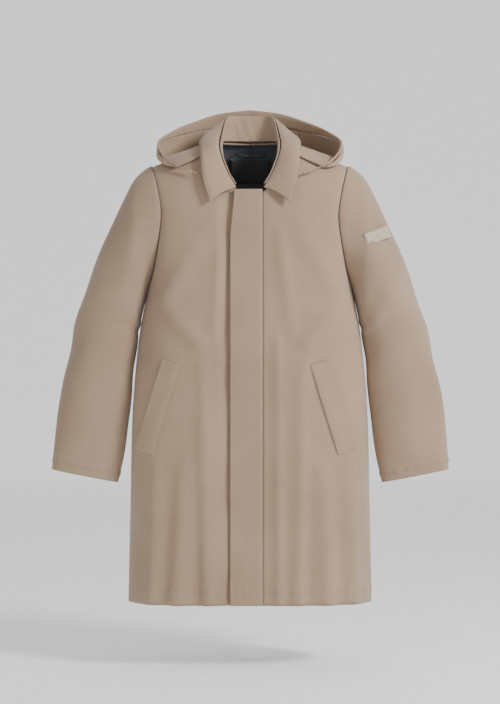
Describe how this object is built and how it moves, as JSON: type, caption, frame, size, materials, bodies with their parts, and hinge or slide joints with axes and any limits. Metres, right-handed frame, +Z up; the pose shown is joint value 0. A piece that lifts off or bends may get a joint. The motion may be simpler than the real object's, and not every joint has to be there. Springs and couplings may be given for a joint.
{
  "type": "hooded car coat",
  "caption": "Knee-length hooded coat with a shirt collar, concealed fly front, slanted welt pockets and two-piece sleeves, hanging closed",
  "frame": {"origin": "The middle of the hanger seat: the centre line of the coat, at the height of the neck edge of the shoulder seams", "axes": "+X to the wearer's left, +Y to the back of the coat, +Z up. The front faces -Y"},
  "size_m": [0.85, 0.234, 1.0669],
  "materials": {
    "badge": "unmarked woven badge, matt",
    "cloth": "close plain-weave cloth, lightly padded, matt",
    "label": "unmarked woven label, matt",
    "lining": "smooth taffeta lining, satin",
    "metal": "pressed, satin"
  },
  "bodies": {
    "shell": {"collar_back_fall": "cloth", "collar_stand": "cloth", "hanger_loop": "lining", "hood_base": "cloth", "label_patch": "lining", "left_back": "cloth", "left_front": "cloth", "left_pocket_bag": "lining", "left_sleeve_lining_upper": "lining", "left_sleeve_upper_back": "cloth", "left_sleeve_upper_front": "cloth", "lining_left_back": "lining", "lining_left_front": "lining", "lining_right_back": "lining", "lining_right_front": "lining", "neck_label": "label", "right_back": "cloth", "right_front": "cloth", "right_pocket_bag": "lining", "right_sleeve_lining_upper": "lining", "right_sleeve_upper_back": "cloth", "right_sleeve_upper_front": "cloth", "sleeve_badge": "badge"},
    "left_front_swing": {"left_front_edge": "cloth", "left_facing": "cloth", "fly_strip": "cloth", "press_socket_1": "metal", "press_socket_2": "metal", "press_socket_3": "metal", "press_socket_4": "metal", "press_socket_5": "metal"},
    "fly": {"fly_flap": "cloth"},
    "right_front_swing": {"right_front_edge": "cloth", "right_facing": "cloth", "press_stud_1": "metal", "press_stud_2": "metal", "press_stud_3": "metal", "press_stud_4": "metal", "press_stud_5": "metal"},
    "left_forearm": {"left_sleeve_lower_front": "cloth", "left_sleeve_lower_back": "cloth", "left_sleeve_lining_lower": "lining"},
    "left_collar_leaf": {"collar_leaf_left": "cloth"},
    "left_pocket": {"left_pocket_welt": "cloth"},
    "right_forearm": {"right_sleeve_lower_front": "cloth", "right_sleeve_lower_back": "cloth", "right_sleeve_lining_lower": "lining"},
    "right_collar_leaf": {"collar_leaf_right": "cloth"},
    "right_pocket": {"right_pocket_welt": "cloth"},
    "hood": {"hood_center_panel": "cloth", "hood_left_panel": "cloth", "hood_right_panel": "cloth", "hood_hem_band": "cloth"}
  },
  "joints": [
    {"name": "left_front_open", "type": "hinge", "parent": "shell", "child": "left_front_swing", "pos_m": [0.036, -0.098, -0.105], "axis": [-0.1285, 0, 0.9917], "range_deg": [0, 35]},
    {"name": "right_front_open", "type": "hinge", "parent": "shell", "child": "right_front_swing", "pos_m": [-0.036, -0.098, -0.105], "axis": [-0.1285, 0, -0.9917], "range_deg": [0, 32]},
    {"name": "fly_open", "type": "hinge", "parent": "left_front_swing", "child": "fly", "pos_m": [0.027, -0.1005, -0.105], "axis": [0, 0, 1], "range_deg": [0, 90]},
    {"name": "left_elbow_bend", "type": "hinge", "parent": "shell", "child": "left_forearm", "pos_m": [0.308, -0.046, -0.406], "axis": [-0.9849, 0, -0.173], "range_deg": [0, 60]},
    {"name": "right_elbow_bend", "type": "hinge", "parent": "shell", "child": "right_forearm", "pos_m": [-0.308, -0.046, -0.406], "axis": [-0.9849, 0, 0.173], "range_deg": [0, 60]},
    {"name": "left_collar_lift", "type": "hinge", "parent": "shell", "child": "left_collar_leaf", "pos_m": [0.0625, -0.0535, -0.025], "axis": [-0.3791, -0.2911, -0.8783], "range_deg": [0, 50]},
    {"name": "right_collar_lift", "type": "hinge", "parent": "shell", "child": "right_collar_leaf", "pos_m": [-0.0625, -0.0535, -0.025], "axis": [-0.3791, 0.2911, 0.8783], "range_deg": [0, 50]},
    {"name": "hood_lift", "type": "hinge", "parent": "shell", "child": "hood", "pos_m": [0, -0.084, -0.076], "axis": [1, 0, 0], "range_deg": [0, 25]},
    {"name": "left_pocket_open", "type": "hinge", "parent": "shell", "child": "left_pocket", "pos_m": [0.1253, -0.0936, -0.4804], "axis": [0.2966, 0.0654, -0.9528], "range_deg": [0, 20], "stiffness_Nm_per_rad": 0.05},
    {"name": "right_pocket_open", "type": "hinge", "parent": "shell", "child": "right_pocket", "pos_m": [-0.1474, -0.09, -0.4804], "axis": [0.2961, -0.0903, 0.9509], "range_deg": [0, 20], "stiffness_Nm_per_rad": 0.05}
  ],
  "couplings": [
    {"joint": "right_front_open", "follows": "left_front_open", "ratio": 0.85}
  ]
}
